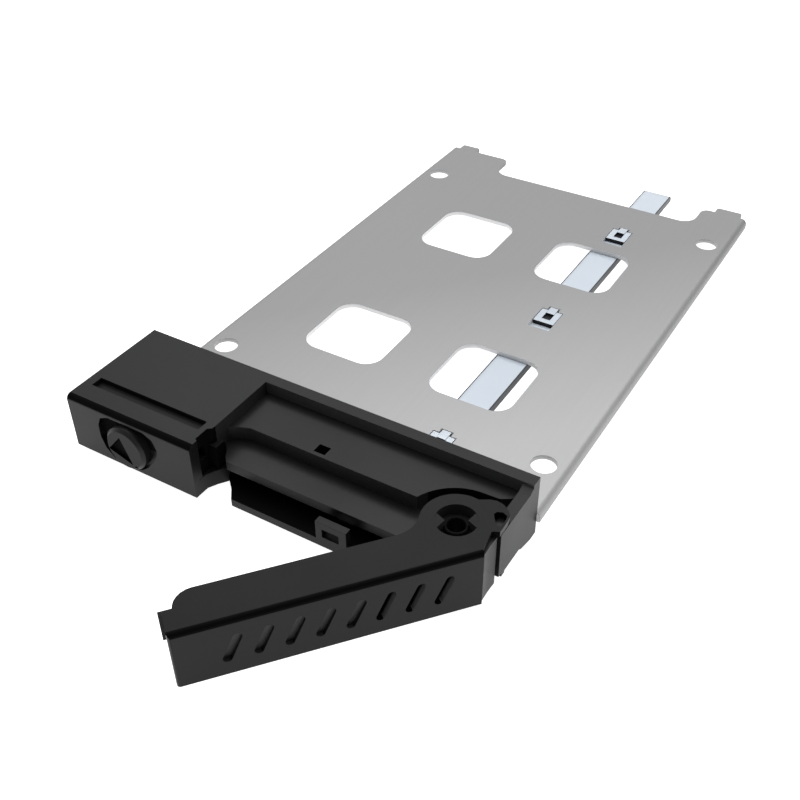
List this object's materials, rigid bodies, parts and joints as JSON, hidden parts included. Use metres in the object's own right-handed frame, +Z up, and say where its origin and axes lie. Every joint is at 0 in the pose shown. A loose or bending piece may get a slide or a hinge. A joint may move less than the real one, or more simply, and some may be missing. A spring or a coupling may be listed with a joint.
{
  "type": "drive bay adapter",
  "caption": "Hot-swap tray for a thin 2.5 inch drive: folded steel plate, black bezel, hinged ejector lever, turn lock and clear light pipe.",
  "frame": {"origin": "centre of the rectangle of drive mounting holes, on the plate's top face", "axes": "+X across the tray to the lever's hinge side, +Y along the tray to its back end, +Z up from the plate towards the drive"},
  "size_m": [0.0724, 0.1531, 0.0112],
  "materials": {
    "bezel_black": "fine moulded grain",
    "cover_black": "fine moulded grain",
    "lever_black": "fine moulded grain",
    "knob_black": "fine moulded grain",
    "sheet_steel": "satin zinc-coated sheet",
    "clear_pipe": "clear polished plastic",
    "pin_black": "blackened steel",
    "screw_steel": "zinc-plated",
    "spring_steel": "hardened strip",
    "washer_nylon": "natural nylon",
    "lock_plastic": "smooth acetal"
  },
  "bodies": {
    "tray": {"bezel_body": "bezel_black", "bezel_bottom_cover": "cover_black", "tray_plate": "sheet_steel", "light_pipe": "clear_pipe", "lever_pivot_pin": "pin_black", "pivot_washer": "washer_nylon", "pivot_retaining_ring": "spring_steel", "knob_spring_washer": "spring_steel", "cover_screw_1": "screw_steel", "cover_screw_2": "screw_steel", "cover_screw_3": "screw_steel", "cover_screw_4": "screw_steel", "plate_screw_1": "screw_steel", "plate_screw_2": "screw_steel", "plate_screw_3": "screw_steel"},
    "lever": {"ejector_lever": "lever_black"},
    "knob": {"lock_knob": "knob_black", "lock_cam": "lock_plastic", "cam_screw": "screw_steel"},
    "bolt": {"lock_bolt": "lock_plastic"}
  },
  "joints": [
    {"name": "lever_hinge", "type": "hinge", "parent": "tray", "child": "lever", "pos_m": [0.02825, -0.0617, 0.0048], "axis": [0, 0, 1], "range_deg": [-50.07, 0]},
    {"name": "knob_turn", "type": "hinge", "parent": "tray", "child": "knob", "pos_m": [-0.0256, -0.068, 0.00135], "axis": [0, 1, 0], "range_deg": [0, 90]},
    {"name": "bolt_slide", "type": "slide", "parent": "tray", "child": "bolt", "axis": [1, 0, 0], "range_m": [0, 0.00283]}
  ],
  "couplings": [
    {"joint": "knob_turn", "follows": "bolt_slide", "rad_per_m": 555.36}
  ]
}
